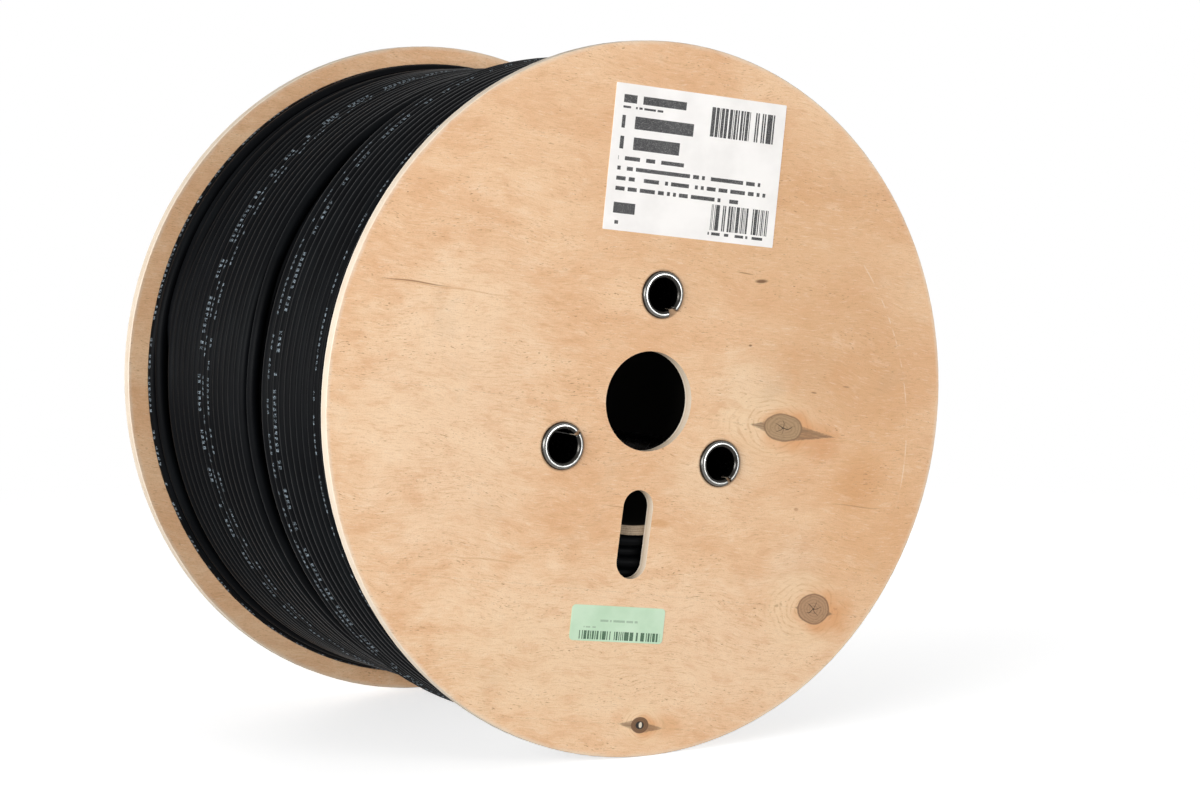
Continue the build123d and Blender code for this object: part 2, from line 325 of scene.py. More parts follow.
def add_knot(node, veneer, height, at, knot):
    """A knot: grey-brown core with rings and cracks, a pointed streak each side, growth lines round it."""
    x, z, half_x, half_z = knot.across, knot.up, knot.half_length, knot.half_height
    right = node(SUBTRACT, at[0], x)
    above = node(SUBTRACT, at[1], z)
    local = node("CombineXYZ", right, x, above)
    slow = node(SUBTRACT, figure(node, local, (0.07, 1.0, 0.07), 1.0), 0.5)
    fine = node(SUBTRACT, figure(node, local, (0.5, 1.0, 0.9)), 0.5)
    uneven = node(ADD, node(MULTIPLY, slow, 0.25), node(MULTIPLY, fine, 0.05))
    reach = node(ADD, ellipse(node, at, x, z, half_x, half_z), uneven)

    # The streak narrows to a point at each end, and its right half hangs a little
    on_right = node(MORE, right, 0.0)
    more_right = node(MULTIPLY, on_right, knot.streak_right - knot.streak_left)
    along = node(DIVIDE, node(ABSOLUTE, right), node(ADD, half_x + knot.streak_left, more_right))
    taper = node("MapRange.LINEAR", along, 0.2, 1.0, half_z * 0.62, -0.2)
    lean = node(ADD, above, node(MULTIPLY, on_right, half_z * 0.22))
    slim = node(ADD, node(SUBTRACT, taper, node(ABSOLUTE, lean)), node(MULTIPLY, fine, 1.6))
    fibres = node(EASE, figure(node, local, (0.1, 1.0, 1.9)), 0.32, 0.6, 0.6, 1.0)
    streak = node(MULTIPLY, node(EASE, slim, -0.5, 0.5), fibres)

    # Warm stain to the right, and broken growth lines set off towards the left
    stain = ellipse(node, at, x + half_x * 0.5, z - half_z * 0.2, half_x * 1.9, half_z * 1.8)
    stain = node(EASE, node(ADD, stain, node(MULTIPLY, slow, 0.8)), 1.1, 0.45)
    ring = ellipse(node, at, x + knot.line_shift, z, half_x * 1.25, half_z * 1.3)
    ring = node(ADD, ring, node(MULTIPLY, slow, 0.6))
    wave = node(SINE, node(MULTIPLY, node("Math.POWER", ring, 0.8), 29.0))
    lines = node(MULTIPLY, node(EASE, wave, 0.3, 1.0), node(EASE, ring, 2.5, 1.2))
    lines = node(MULTIPLY, lines, node(EASE, figure(node, local, (0.16, 1.0, 0.3), 2.0), 0.4, 0.6, 0.15, 1.0))

    # The core: growth rings, dark fibres, and cracks that run out from its middle
    ring_wave = node(SINE, node(MULTIPLY, node(ADD, reach, node(MULTIPLY, slow, 0.4)), 34.0))
    angle = node(MULTIPLY, node("Math.ARCTAN2", above, right), 2.5)
    spokes = node(ABSOLUTE, node(SINE, node(ADD, angle, node(MULTIPLY, slow, 9.0))))
    crack = node(EASE, node(MULTIPLY, spokes, reach), 0.07, 0.02)
    crack = node(MULTIPLY, crack, node(EASE, reach, 0.62, 0.35))
    core = painted(
        node, rgb(knot.core),
        (node(EASE, ring_wave, -0.4, 1.0, 0.0, 0.4), "8a6f54"),
        (node(EASE, fine, 0.0, 0.3, 0.0, 0.5), "6e553e"),
        (node(MULTIPLY, crack, 0.9), "33241a"),
    )
    outline = node(EASE, node(ABSOLUTE, node(SUBTRACT, reach, 0.97)), 0.09, 0.01)
    veneer = painted(
        node, veneer,
        (node(EASE, ring, 2.6, 1.3, 0.0, 0.4), "f3d4ac"),
        (node(MULTIPLY, stain, 0.58), "d69056"),
        (node(MULTIPLY, lines, 0.3), "bd8655"),
        (node(MULTIPLY, streak, 0.85), "80664c"),
        (node(EASE, reach, 1.03, 0.97), core),
        (node(MULTIPLY, outline, 0.5), "6f5038"),
    )
    pit = node(MULTIPLY, crack, 3.0)
    if knot.hollow:
        # The hollow is painted near-black: painted shade in a hole that only the bump sinks
        hollow_with_shade = node(EASE, reach, 0.52, 0.42)
        chip = node(EASE, ellipse(node, at, x + 0.6, z + 0.2, 1.1, 1.7), 1.1, 0.8)
        veneer = painted(node, veneer, (hollow_with_shade, "15100c"), (chip, "e9dcc6"))
        pit = node(ADD, pit, node(MULTIPLY, hollow_with_shade, 5.0))
    sunk = node(MULTIPLY, node(ADD, pit, node(MULTIPLY, lines, 0.5)), 0.8)
    return veneer, node(SUBTRACT, height, sunk)


def add_marks(node, veneer, height, at):
    """The split and the small dark flecks, each bent a little and sunk into the face."""
    across, up = at
    for x, z, half_x, half_z, tone, strength in MARKS:
        bend = node(MULTIPLY, node(SINE, node(MULTIPLY, across, 0.19)), half_z * 0.5)
        reach = ellipse(node, (across, node(SUBTRACT, up, bend)), x, z, half_x, half_z)
        mask = node(EASE, reach, 1.0, 0.35, 0.0, strength)
        veneer = painted(node, veneer, (mask, tone))
        height = node(SUBTRACT, height, mask)
    return veneer, height


def scuffed(node, veneer, place, at):
    """Soft grey smudges, and a pale broken arc that handling has rubbed near the right edge."""
    smudge = node(EASE, figure(node, place, (0.02, 0.0, 0.02), 4.0, 0.6), 0.58, 0.75, 0.0, 0.1)
    from_arc = node(ABSOLUTE, node(SUBTRACT, ellipse(node, at, 20.0, -20.0, 1.0, 1.0), 160.0))
    broken = node(EASE, figure(node, place, (0.12, 0.0, 0.12)), 0.42, 0.58)
    arc = node(MULTIPLY, node(EASE, from_arc, 0.6, 0.1), broken)
    side = node(MULTIPLY, node(EASE, at[0], 110.0, 150.0), node(EASE, at[1], -60.0, -20.0, 0.0, 0.45))
    return painted(node, veneer, (smudge, "9a8872"), (node(MULTIPLY, arc, side), "f8e8d0"))


# Board, steel and sheath
def wound_board():
    """Grey-brown paperboard wound on a mandrel: matt and fuzzy, with fine rings on its end."""
    made, node, finish = material("spiral_wound_grey_paperboard")
    place = in_mm(node, node("TexCoord", out="Object"))
    x, y, z = node("SeparateXYZ", place, out=None)
    radius = node("Math.SQRT", node(ADD, node("Math.POWER", x, 2.0), node("Math.POWER", z, 2.0)))
    drift = node(MULTIPLY, figure(node, place, (0.08, 0.0, 0.08), 2.0), 0.8)
    sheet = node(MULTIPLY, node(ADD, radius, drift), 1.8)
    tone = node("TexNoise.1D", {"W": sheet, "Scale": 1.3, "Detail": 2.0})
    fuzz = figure(node, place, (0.9, 0.9, 0.9), 4.0, 0.65)
    # The inner wall is painted dark away from its ends: painted shade deep inside the bore
    bore_painted_shade = node(MULTIPLY, node(EASE, radius, 71.4, 70.8), node(EASE, node(ABSOLUTE, y), 128.0, 124.0))
    finish({
        "Base Color": painted(
            node, rgb("8c7a66"),
            (node(EASE, tone, 0.3, 0.7), "b5a48f"),
            (node(EASE, fuzz, 0.45, 0.7, 0.0, 0.5), "6f604f"),
            (bore_painted_shade, "1d1916"),
        ),
        "Roughness": 0.85,
        "Specular IOR Level": 0.2,
        "Normal": node("Bump", {"Height": node(ADD, tone, fuzz), "Distance": 0.0001, "Strength": 0.8}),
    })
    return made


def zinc_steel():
    """Zinc-coated strip whose colour paints its reflections: a painted highlight along the crest of the curl,
    a mid-grey ring on its flank, and dark on the rest and in the tube for dark reflections and shade.
    """
    made, node, finish = material("zinc_plated_rolled_steel")
    place = in_mm(node, node("TexCoord", out="Object"))
    reach = node("Attribute", out="Fac", attribute_name="from_axis")
    blotch = figure(node, place, (0.2, 0.2, 0.2), 3.0, 0.6)
    scratch = figure(node, place, (0.7, 3.0, 0.7), 3.0, 0.6)
    patches = node(EASE, blotch, 0.35, 0.7)
    # Painted reflection: the bright crest band, the mid-grey ring beside it and the dark ground stand in for
    # the light and dark that the curl reflects
    crest_painted_highlight = node(EASE, node(ABSOLUTE, node(SUBTRACT, reach, CREST_R)), 0.55, 0.1)
    flank_painted_reflection = node(EASE, node(ABSOLUTE, node(SUBTRACT, reach, CREST_R + 1.0)), 0.7, 0.2, 0.0, 0.45)
    crest_highlight_tone = painted(node, rgb("d2d3d1"), (patches, "a9a9a5"))
    finish({
        "Base Color": painted(
            node, rgb("3b3a38"),
            (patches, "2b2926"),
            (flank_painted_reflection, "8f8e8a"),
            (crest_painted_highlight, crest_highlight_tone),
            (node(EASE, scratch, 0.6, 0.75, 0.0, 0.3), "4f4a44"),
        ),
        "Metallic": 1.0,
        "Roughness": node(EASE, blotch, 0.3, 0.7, 0.2, 0.32),
        "Normal": node("Bump", {"Height": scratch, "Distance": 0.00003, "Strength": 0.4}),
    })
    return made


# Print on the sheath: the dots, the groups that they stand in, and half the height of a group
DOT_LENGTH = 0.4
DOT_HEIGHT = 0.44
GROUP_LENGTH = 3.2
PRINT_HALF = 1.1


def cable_sheath():
    """Extruded polyolefin sheath: near-black with a low sheen, and dot-printed ticks on some turns."""
    made, node, finish = material("black_extruded_polyolefin_sheath")
    place = node("TexCoord", out="Object")
    large = in_mm(node, place)
    along = node("Attribute", out="Fac", attribute_name="along")
    printed = node("Attribute", out="Fac", attribute_name="printed")
    turn = node("Attribute", out="Fac", attribute_name="turn")
    normal = node("NewGeometry", out="Normal")
    level = node("VectorMath.NORMALIZE", node("VectorMath.MULTIPLY", place, (1.0, 0.0, 1.0)))
    outward = node("VectorMath.DOT_PRODUCT", level, normal, out="Value")

    # Millimetres round the cable from its print line, which wanders as the cable twists
    arc = node(MULTIPLY, node("Math.ARCSINE", node("SeparateXYZ", normal, out=1)), CABLE_R)
    arc = node(ADD, arc, node(MULTIPLY, node(SINE, node(MULTIPLY, along, 0.0041)), 0.8))
    arc = node(ADD, arc, node(SUBTRACT, printed, 1.0))

    # Dots in groups with gaps like words; no group is a letter
    column = node(FLOOR, node(DIVIDE, along, DOT_LENGTH))
    row = node(FLOOR, node(DIVIDE, arc, DOT_HEIGHT))
    dot = node("TexWhiteNoise.3D", node("CombineXYZ", column, row, turn))
    group = node(DIVIDE, along, GROUP_LENGTH)
    in_group = node(LESS, node("Math.FRACT", group), 0.56)
    of_word = node(ADD, node(MULTIPLY, node(FLOOR, group), 0.29), node(MULTIPLY, turn, 17.3))
    word = node("TexNoise.1D", {"W": of_word, "Scale": 1.0, "Detail": 0.0})
    ink = node(MULTIPLY, node(MORE, dot, 0.5), node(LESS, node(ABSOLUTE, arc), PRINT_HALF))
    ink = node(MULTIPLY, ink, node(MULTIPLY, in_group, node(MORE, word, 0.47)))
    ink = node(MULTIPLY, ink, node(MULTIPLY, node(MORE, printed, 0.01), node(MORE, outward, 0.1)))
    rubbed = figure(node, large, (0.5, 0.5, 0.5))
    ink = node(MULTIPLY, ink, node(EASE, rubbed, 0.35, 0.55, 0.4, 1.0))

    # Dust in broad patches, and fine lines along the cable that the extruder drew
    dust = figure(node, large, (0.02, 0.05, 0.02), 4.0, 0.6)
    beside = node("CombineXYZ", node(MULTIPLY, along, 0.02), node(MULTIPLY, arc, 1.6), turn)
    drawn = node("TexNoise", {"Vector": beside, "Scale": 1.0, "Detail": 3.0, "Roughness": 0.55})
    skin = figure(node, large, (0.9, 0.9, 0.9))
    finish({
        "Base Color": painted(
            node, rgb("07080a"),
            (node(EASE, dust, 0.4, 0.75), "0d0f11"),
            (node(EASE, drawn, 0.62, 0.8, 0.0, 0.3), "15171a"),
            (node(MULTIPLY, ink, 0.8), "8d9aa3"),
        ),
        "Roughness": node(EASE, drawn, 0.3, 0.7, 0.38, 0.45),
        "Specular IOR Level": 0.03,
        "Normal": node("Bump", {"Height": skin, "Distance": 0.00003, "Strength": 0.6}),
    })
    return made


# Labels: each is placed by its centre, across and up, and its tilt in degrees
WHITE_PLACE = (11.0, 133.5, 1.8)
GREEN_PLACE = (-1.9, -125.4, 1.5)
# Blocks of bars, from the label's centre: left, right, low, high, bar pitch, seed, share of bars
WHITE_BLOCKS = ((7.0, 50.0, 17.5, 34.0, 0.5, 3.0, 0.55), (12.5, 51.5, -34.5, -20.0, 0.42, 91.0, 0.5))
GREEN_BLOCKS = ((-24.5, 28.5, -9.0, -4.2, 0.6, 7.0, 0.52),)
# Lines of dashes, from the label's centre: left, right, low, high, seed, share of gaps
WHITE_LINES = (
    (-51.0, -9.0, 30.0, 34.5, 2.0, 0.12), (-51.0, -25.0, 27.0, 28.2, 5.0, 0.2),
    (-51.0, -4.0, 16.0, 23.0, 11.0, 0.22), (-51.0, -12.0, 4.5, 11.5, 17.0, 0.15),
    (-51.0, -8.0, -1.6, 0.6, 23.0, 0.25), (-51.0, 44.0, -7.2, -5.0, 29.0, 0.25),
    (-51.0, 49.0, -12.8, -10.6, 37.0, 0.25), (-51.0, 31.0, -18.4, -16.2, 41.0, 0.25),
    (-51.0, -37.0, -31.0, -25.0, 47.0, 0.1), (-51.0, -47.0, -37.0, -35.0, 53.0, 0.1),
    (12.0, 50.0, -37.2, -35.6, 59.0, 0.4),
)
GREEN_LINES = ((-11.4, 13.0, 1.0, 2.2, 3.0, 0.2), (-22.0, -14.0, -2.6, -1.8, 9.0, 0.3))


def rolled(across, up):
    """X and Z of a place on the flange, once the drum is rolled."""
    return across * math.cos(ROLL) + up * math.sin(ROLL), up * math.cos(ROLL) - across * math.sin(ROLL)


def inside(node, on_label, left, right, low, high):
    """1 inside a rectangle on the label, else 0."""
    s, t = on_label
    near_s = node(LESS, node(ABSOLUTE, node(SUBTRACT, s, (left + right) / 2)), (right - left) / 2)
    near_t = node(LESS, node(ABSOLUTE, node(SUBTRACT, t, (low + high) / 2)), (high - low) / 2)
    return node(MULTIPLY, near_s, near_t)


def bars(node, s, pitch, seed, share):
    """Random upright bars, each some whole multiple of the pitch wide."""
    cell = node(FLOOR, node(DIVIDE, node(ADD, s, seed), pitch))
    return node(LESS, node("TexWhiteNoise.1D", {"W": cell}), share)


def dashes(node, s, seed, height, gaps, strength):
    """A printed line as plain dashes of word length, with no letters in it."""
    cell = node(FLOOR, node(DIVIDE, node(ADD, s, seed), height * 0.9))
    value = node("TexWhiteNoise.1D", {"W": node(ADD, cell, seed * 7.0)})
    return node(MULTIPLY, node(MORE, value, gaps), strength)


def paper(name, tones, place, blocks, lines, dash_ink=1.0):
    """Coated label paper: smooth, with a faint fibre tone and bump, printed with bars and dashes only."""
    made, node, finish = material(name)
    base, shadow, ink_tone = tones
    across, up, tilt = place
    large = in_mm(node, node("TexCoord", out="Object"))
    x, z = rolled(across, up)
    moved = node("VectorMath.SUBTRACT", large, (x, 0.0, z))
    turned = node("VectorRotate.Y_AXIS", {"Vector": moved, "Angle": math.radians(tilt) - ROLL})
    split = node("SeparateXYZ", turned, out=None)
    on_label = (split[0], split[2])
    masks = []
    for left, right, low, high, pitch, seed, share in blocks:
        block = inside(node, on_label, left, right, low, high)
        masks.append(node(MULTIPLY, block, bars(node, on_label[0], pitch, seed, share)))
    for left, right, low, high, seed, gaps in lines:
        strip = inside(node, on_label, left, right, low, high)
        masks.append(node(MULTIPLY, strip, dashes(node, on_label[0], seed, high - low, gaps, dash_ink)))
    speck = node(EASE, figure(node, large, (2.6, 2.6, 2.6), 2.0), 0.25, 0.5, 0.75, 1.0)
    cloud = figure(node, large, (0.05, 0.05, 0.05), 4.0, 0.6)
    fibre = figure(node, large, (1.4, 1.4, 1.4), 3.0, 0.6)
    relief = node(ADD, fibre, node(MULTIPLY, cloud, 2.0))
    finish({
        "Base Color": painted(
            node, rgb(base),
            (node(EASE, cloud, 0.35, 0.7), shadow),
            (node(EASE, fibre, 0.6, 0.8, 0.0, 0.35), shadow),
            (node(MULTIPLY, total(node, masks), speck), ink_tone),
        ),
        "Roughness": node(EASE, cloud, 0.3, 0.7, 0.42, 0.55),
        "Specular IOR Level": 0.4,
        "Normal": node("Bump", {"Height": relief, "Distance": 0.00005, "Strength": 0.6}),
    })
    return made


def build_materials():
    white = ("fbf8f5", "f4f1ee", "222224")
    green = ("cae4c8", "bddbbc", "3d5f45")
    return {
        "front_flange": plywood("rotary_cut_birch_plywood_knotty", KNOTS, 3.7),
        "rear_flange": plywood("rotary_cut_birch_plywood_clear", (), 41.3),
        "barrel": wound_board(),
        "steel": zinc_steel(),
        "sheath": cable_sheath(),
        "shipping_label": paper("coated_white_label_paper", white, WHITE_PLACE, WHITE_BLOCKS, WHITE_LINES),
        "stock_label": paper("pale_green_label_paper", green, GREEN_PLACE, GREEN_BLOCKS, GREEN_LINES, 0.4),
    }


# Geometry
def mesh_object(name, points, faces, smooth):
    """A mesh from points in millimetres."""
    mesh = bpy.data.meshes.new(name)
    mesh.from_pydata([tuple(c * MM for c in p) for p in points], [], faces)
    mesh.validate()
    mesh.update()
    made = bpy.data.objects.new(name, mesh)
    bpy.context.scene.collection.objects.link(made)
    if smooth:
        mesh.shade_smooth()
    return made


def tie(piece, cad_node):
    """Ties a finished piece to the frame as the looks of a CAD node."""
    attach(piece, "root")
    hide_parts(cad_node)


def smoothstep(low, high, value):
    t = min(max((value - low) / (high - low), 0.0), 1.0)
    return t * t * (3 - 2 * t)


# Place and radius of each outer turn, front to rear: raised band, groove, main run, gap and rear turns
TOP_LAYER = [(FRONT_Y + BAND_PITCH * k, BAND_R) for k in range(13)]
TOP_LAYER += [(-31.9 + 7.1 * k, LOWER_R) for k in range(3)]
TOP_LAYER += [(-6.6, MAIN_R)]
TOP_LAYER += [(5.0 + PITCH * k, MAIN_R) for k in range(15)]
TOP_LAYER += [(112.3, LOWER_R), (117.9, 183.8), (124.85, REAR_R)]
LAST_TURN = len(TOP_LAYER) - 1
# The turn that strays between the groove and the main run, and the one that sinks beside the rear gap
LOOSE_TURN = 16
SUNK_TURN = 30
# How far turns near the rear gap lean over it, and how far the rear ones rise, at the drum's upper left
LEANING = {28: 0.7, 29: 1.8, 30: 2.6, 31: 2.6}
RISING = {32: 5.6, 33: 2.0}
# Both ends of the run dive this far, and so lie hidden under the turns beside them
END_DEPTH = 7.0
# Turns whose print faces out, with how far its line lies from the crest (1 is on the crest)
PRINTED = {3: 1.5, 10: 1.6, 11: 1.2, 23: 1.5, 24: 1.0, 25: 1.7, 34: 1.3}
# Points in one turn, how far it wanders sideways, how low or proud it may lie, and the range of its phases
STEPS = 144
WANDER = 0.16
LIFT = (-0.22, 0.12)
PHASES = (0, 6.28)


def stray(k, phi, sway):
    """How far a turn strays sideways and outwards at angle phi, in degrees round the drum from +X."""
    angle = math.radians(phi)
    aside = sway[0] * math.sin(angle + sway[1]) + sway[2] * math.sin(math.radians(2 * phi) + sway[3])
    upper_left = smoothstep(180, 166, phi) * smoothstep(50, 95, phi)
    aside += LEANING.get(k, 0.0) * upper_left
    outwards = RISING.get(k, 0.0) * upper_left
    if k == SUNK_TURN:
        outwards -= 1.6 * smoothstep(165, 148, phi) * smoothstep(50, 95, phi)
    if k == 0:
        outwards -= END_DEPTH * (1.0 - smoothstep(-22, 20, phi))
    if k == LAST_TURN:
        outwards -= END_DEPTH * smoothstep(340, 382, phi)
    if k == LOOSE_TURN:
        above = 3.0 * smoothstep(172, 150, phi) * smoothstep(60, 100, phi)
        below = 2.4 * smoothstep(195, 225, phi) * smoothstep(330, 280, phi)
        aside += above + below
    return aside, outwards


def cable_run():
    """Centreline of one unbroken run: each turn is a ring, and it crosses to the next on the +X side."""
    random.seed(11)
    sways = [(random.uniform(-WANDER, WANDER), random.uniform(*PHASES),
              random.uniform(-WANDER, WANDER) * 0.5, random.uniform(*PHASES)) for _ in TOP_LAYER]
    lifts = [random.uniform(*LIFT) for _ in TOP_LAYER]

    def spot(k, phi):
        y, r = TOP_LAYER[k]
        aside, outwards = stray(k, phi, sways[k])
        return y + aside, r + lifts[k] + outwards

    points, along, turn_ids, printed = [], [], [], []
    travelled = 0.0
    for k in range(LAST_TURN + 1):
        # The first and the last turn run on a little way, so that their ends lie under their neighbours
        first = -9 if k == 0 else 0
        last = STEPS + 10 if k == LAST_TURN else STEPS
        for step in range(first, last):
            phi = 360.0 * step / STEPS
            y, r = spot(k, phi)
            ahead = smoothstep(332, 388, phi) if k < LAST_TURN else 0.0
            behind = 1.0 - smoothstep(-28, 28, phi) if k > 0 else 0.0
            for share, other, angle in ((ahead, k + 1, phi - 360), (behind, k - 1, phi + 360)):
                if share > 0:
                    y_other, r_other = spot(other, angle)
                    y += share * (y_other - y)
                    r += share * (r_other - r)
            here = Vector((r * math.cos(math.radians(phi)), y, r * math.sin(math.radians(phi))))
            if points:
                travelled += (here - points[-1]).length
            points.append(here)
            along.append(travelled)
            turn_ids.append(float(k))
            printed.append(PRINTED.get(k, 0.0))
    return points, along, turn_ids, printed, False


def closed_turn(y, r, turn, steps=STEPS, wander=0.15):
    """A turn of a lower layer, closed on itself."""
    random.seed(int(y * 13 + r * 7))
    phase = random.uniform(*PHASES)
    points = []
    for step in range(steps):
        angle = 2 * math.pi * step / steps
        aside = wander * math.sin(angle + phase)
        points.append(Vector((r * math.cos(angle), y + aside, r * math.sin(angle))))
    along = [2 * math.pi * r * step / steps for step in range(steps)]
    return points, along, [float(turn)] * steps, [0.0] * steps, True


def guide(name, runs):
    """Edges along each run's centreline, with its length, turn number and print flag as point attributes."""
    points, edges, along, turn_ids, printed = [], [], [], [], []
    for run_points, run_along, run_turns, run_printed, closed in runs:
        base = len(points)
        points += run_points
        edges += [(base + i, base + i + 1) for i in range(len(run_points) - 1)]
        if closed:
            edges.append((base + len(run_points) - 1, base))
        along += run_along
        turn_ids += run_turns
        printed += run_printed
    mesh = bpy.data.meshes.new(name)
    mesh.from_pydata([tuple(p * MM) for p in points], edges, [])
    for key, values in (("along", along), ("turn", turn_ids), ("printed", printed)):
        mesh.attributes.new(key, "FLOAT", "POINT").data.foreach_set("value", values)
    made = bpy.data.objects.new(name, mesh)
    bpy.context.scene.collection.objects.link(made)
    return made


def sweep_tree():
    """Geometry nodes: run centrelines wander a little, then carry a round cable section."""
    tree = bpy.data.node_groups.new("cable_sweep", "GeometryNodeTree")
    face = tree.interface
    face.new_socket("Geometry", in_out="INPUT", socket_type="NodeSocketGeometry")
    for key, value in (("Cable Radius", CABLE_R * MM), ("Wander", 0.0002), ("Wander Scale", 9.0)):
        face.new_socket(key, in_out="INPUT", socket_type="NodeSocketFloat").default_value = value
    for key, value in (("Sides", 12), ("Seed", 5)):
        face.new_socket(key, in_out="INPUT", socket_type="NodeSocketInt").default_value = value
    face.new_socket("Sheath", in_out="INPUT", socket_type="NodeSocketMaterial")
    face.new_socket("Geometry", in_out="OUTPUT", socket_type="NodeSocketGeometry")

    node = partial(add, tree)
    entry = node("NodeGroupInput", out=None)
    drift = node("TexNoise.4D", {
        "Vector": node("GeometryNodeInputPosition"),
        "W": node(MULTIPLY, entry["Seed"], 3.7),
        "Scale": entry["Wander Scale"],
        "Detail": 2.0,
    }, out="Color")
    centred = node("VectorMath.SUBTRACT", drift, (0.5, 0.5, 0.5))
    moved = node("VectorMath.SCALE", {0: centred, "Scale": entry["Wander"]})
    both_ways = node("VectorMath.SCALE", {0: moved, "Scale": 2.0})
    strayed = node("GeometryNodeSetPosition", {"Geometry": entry["Geometry"], "Offset": both_ways})
    curve = node("GeometryNodeMeshToCurve", {"Mesh": strayed})
    circle = {"Resolution": entry["Sides"], "Radius": entry["Cable Radius"]}
    section = node("GeometryNodeCurvePrimitiveCircle", circle)
    swept = node("GeometryNodeCurveToMesh", {"Curve": curve, "Profile Curve": section, "Fill Caps": True})
    rounded = node("GeometryNodeSetShadeSmooth", {"Geometry": swept})
    real = node("GeometryNodeRealizeInstances", {"Geometry": rounded})
    dressed = node("GeometryNodeSetMaterial", {"Geometry": real, "Material": entry["Sheath"]})
    node("NodeGroupOutput", dressed, out=None)
    return tree


def sweep(name, tree, runs, sheath, **inputs):
    """Runs the cable tree on centrelines and keeps the result as a plain mesh object."""
    source = guide(name + "_path", runs)
    modifier = source.modifiers.new("cable", "NODES")
    modifier.node_group = tree
    ids = {item.name: item.identifier for item in tree.interface.items_tree if item.in_out == "INPUT"}
    modifier[ids["Sheath"]] = sheath
    for key, value in inputs.items():
        modifier[ids[key]] = value
    depsgraph = bpy.context.evaluated_depsgraph_get()
    evaluated = source.evaluated_get(depsgraph)
    mesh = bpy.data.meshes.new_from_object(evaluated, preserve_all_data_layers=True, depsgraph=depsgraph)
    mesh.name = name
    made = bpy.data.objects.new(name, mesh)
    bpy.context.scene.collection.objects.link(made)
    bpy.data.objects.remove(source, do_unlink=True)
    return made


def lathe(name, outline, steps):
    """Turns a closed (radius, y) outline round the drum's axis. It runs so that the faces point outwards."""
    points = []
    for step in range(steps):
        angle = 2 * math.pi * step / steps
        points += [(r * math.cos(angle), y, r * math.sin(angle)) for r, y in outline]
    count = len(outline)
    faces = []
    for step in range(steps):
        faces += band(step * count, (step + 1) % steps * count, count)
    return mesh_object(name, points, faces, smooth=False)


def band(a, b, count):
    """Faces between two copies of a closed outline, whose points start at a and at b."""
    return [(a + i, a + (i + 1) % count, b + (i + 1) % count, b + i) for i in range(count)]


# Turns of the layers below that show in the grooves: place along the drum, and radius
LOWER_TURNS = (
    (-42.7, MAIN_R), (-49.8, MAIN_R), (-39.0, LOWER_R), (-46.1, LOWER_R), (-3.1, LOWER_R), (3.8, LOWER_R),
    (-42.5, DEEP_R), (-35.4, DEEP_R), (-28.3, DEEP_R), (-21.2, DEEP_R), (-13.8, DEEP_R), (-6.6, DEEP_R),
    (98.6, LOWER_R), (105.5, LOWER_R), (118.5, 176.2), (125.05, 178.75),
    (95.1, DEEP_R), (102.0, DEEP_R), (108.9, DEEP_R), (115.8, DEEP_R), (122.7, DEEP_R),
)
# The first layers on the barrel, two turns each, which the slot shows: lowest radius, rise and sideways shift
INNER_LAYERS = 6
INNER_R = 79.4
INNER_RISE = 6.05
INNER_SHIFT = 2.2
# The dark body behind the turns, as radius and place along the drum
CORE_OUTLINE = (
    (76.2, -118.0), (76.2, 126.0), (167.0, 126.0), (167.0, 92.0), (176.0, 90.0), (178.5, 88.0),
    (178.5, 12.0), (167.0, 2.0), (167.0, -44.0), (180.0, -51.0), (184.0, -54.0), (184.0, -126.0),
    (112.0, -126.0), (112.0, -118.0),
)


def build_cable(sheath):
    """The winding: its outer run, the turns in its grooves, the ones behind the slot, and a dark core."""
    tree = sweep_tree()
    top = sweep("cable_top_turns", tree, [cable_run()], sheath)
    lower = [closed_turn(y, r, 60 + turn) for turn, (y, r) in enumerate(LOWER_TURNS)]
    below = sweep("cable_lower_turns", tree, lower, sheath, Sides=10)
    inner = []
    for layer in range(INNER_LAYERS):
        for column in range(2):
            y = FRONT_Y + PITCH * column + (INNER_SHIFT if layer % 2 else 0.0)
            inner.append(closed_turn(y, INNER_R + INNER_RISE * layer, 90 + layer * 2 + column, 96, 0.1))
    in_slot = sweep("cable_inner_turns", tree, inner, sheath, Sides=10, Wander=0.0)
    core = lathe("cable_core", CORE_OUTLINE, STEPS)
    core.data.materials.append(sheath)
    for piece in (top, below, in_slot, core):
        tie(piece, "cable_winding")


def tube_outline():
    """Closed section of the strip's wall, as radius, y and how far round the curl it is, from 0 to 1."""
    inner = TUBE_R - TUBE_SHEET
    curl = (CURL_R - inner) / 2
    middle = inner + curl
    outside, outside_steps = [], 14
    for step in range(outside_steps + 1):
        a = math.pi * step / outside_steps
        outside.append((middle - curl * math.cos(a), HALF_WIDTH + curl * math.sin(a), step / outside_steps))
    hollow = curl - TUBE_SHEET
    back, back_steps = [], 12
    for step in range(back_steps + 1):
        a = math.pi * step / back_steps
        back.append((middle + hollow * math.cos(a), HALF_WIDTH + hollow * math.sin(a), 1 - step / back_steps))
    bore = [(inner, y, 0.0) for y in (0.0, 60.0, 128.0, 132.5)]
    wall = [(TUBE_R, y, 0.0) for y in (132.0, 60.0, 0.0)]
    rear = bore + outside + back + wall
    front = [(r, -y, curled) for r, y, curled in reversed(rear)]
    return rear + front[1:-1]


